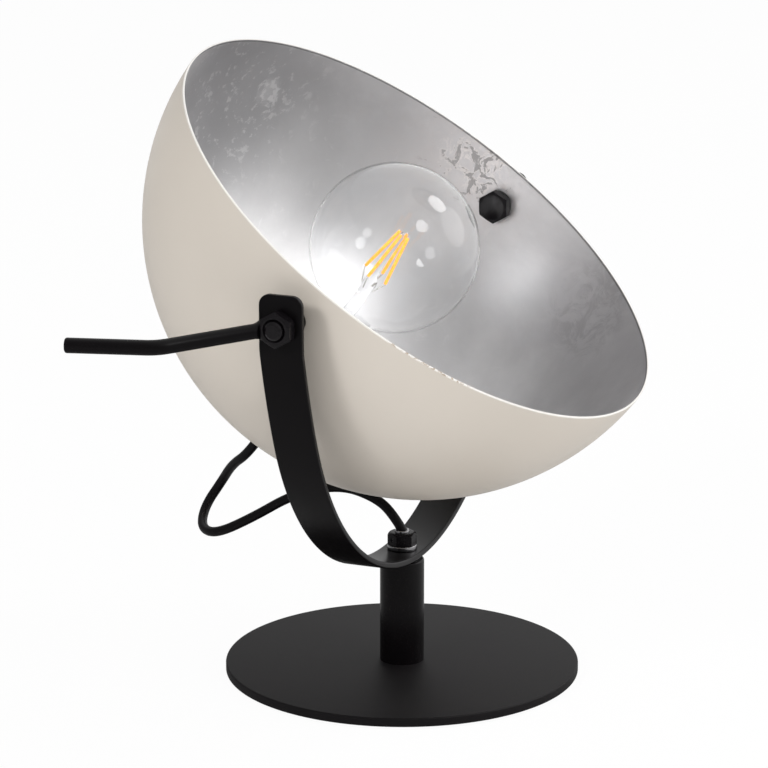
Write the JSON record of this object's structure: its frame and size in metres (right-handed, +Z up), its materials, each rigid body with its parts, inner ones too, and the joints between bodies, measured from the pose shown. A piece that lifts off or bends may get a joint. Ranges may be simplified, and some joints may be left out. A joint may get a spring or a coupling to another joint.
{
  "type": "tabletop searchlight lamp",
  "caption": "Small searchlight table lamp: a dome shade tilts in a U-shaped yoke that swivels on a short stem and round base, with a clamp lever at one pivot.",
  "frame": {"origin": "centre of the underside of the base, on the stem's axis", "axes": "+Z up along the stem, the dome opens towards -Y and upwards, +X along the pivots away from the lever"},
  "size_m": [0.4084, 0.2762, 0.3516],
  "materials": {
    "black_paint": "satin powder coat",
    "dark_steel": "blackened steel",
    "zinc_steel": "bright zinc",
    "felt": "thin rubber-backed felt",
    "black_rubber": "matte",
    "black_nylon": "moulded",
    "cord_sheath": "smooth sheath",
    "cream_aluminium": "satin cream paint outside, silver leaf inside",
    "ceramic": "glazed ceramic",
    "brass": "plain",
    "clear_glass": "clear",
    "nickel": "nickel plate",
    "dark_vitrite": "glass insulator",
    "solder": "solder",
    "filament": "amber coated rods"
  },
  "bodies": {
    "base": {"base_plate": "black_paint", "base_pad": "felt", "stem_screw": "dark_steel", "stem_tube": "black_paint", "stem_foot_plug": "dark_steel", "stem_top_bush": "black_nylon", "lead_bush": "black_rubber"},
    "yoke": {"swivel_pipe": "zinc_steel", "thrust_washer": "zinc_steel", "glide_washer": "black_nylon", "spring_washer": "zinc_steel", "swivel_nut": "zinc_steel", "yoke_strip": "black_paint", "near_pivot_bush": "black_nylon", "far_pivot_bush": "black_nylon", "gland_washer": "zinc_steel", "gland_body": "black_nylon", "gland_collar": "zinc_steel", "gland_clamp_screw": "dark_steel", "lamp_cord": "cord_sheath", "pipe_cord": "cord_sheath"},
    "shade": {"shade_shell": "cream_aluminium", "near_pivot_bolt": "dark_steel", "far_pivot_bolt": "dark_steel", "inner_seats": "black_nylon", "outer_seats": "black_nylon", "lock_nuts": "dark_steel", "friction_washers": "black_rubber", "far_nut": "dark_steel", "pole_inner_seat": "dark_steel", "pole_outer_seat": "dark_steel", "pole_pipe": "zinc_steel", "pole_nut": "zinc_steel", "pole_gland_body": "black_nylon", "pole_gland_collar": "zinc_steel", "pole_clamp_screw": "dark_steel", "holder_cord": "cord_sheath", "holder_cap": "black_nylon", "holder_barrel": "black_nylon", "holder_ring": "black_nylon", "holder_core": "ceramic", "terminal_screws": "brass", "contact_shell": "brass", "centre_contact": "brass", "bulb_glass": "clear_glass", "bulb_cap": "nickel", "bulb_insulator": "dark_vitrite", "bulb_contact": "solder", "bulb_mount": "clear_glass", "bulb_filaments": "filament", "bulb_wires": "nickel"},
    "lever": {"lever_nut": "dark_steel", "lever_rod": "black_paint"}
  },
  "joints": [
    {"name": "yoke_swivel", "type": "hinge", "parent": "base", "child": "yoke", "pos_m": [0, 0, 0.066], "axis": [0, 0, 1], "range_deg": [-170, 170]},
    {"name": "shade_tilt", "type": "hinge", "parent": "yoke", "child": "shade", "pos_m": [0, 0, 0.23899], "axis": [1, 0, 0], "range_deg": [-20, 40], "deforming": ["lamp_cord"]},
    {"name": "lever_turn", "type": "hinge", "parent": "shade", "child": "lever", "pos_m": [-0.1731, 0, 0.23899], "axis": [-1, 0, 0], "range_deg": [0, 60]}
  ]
}
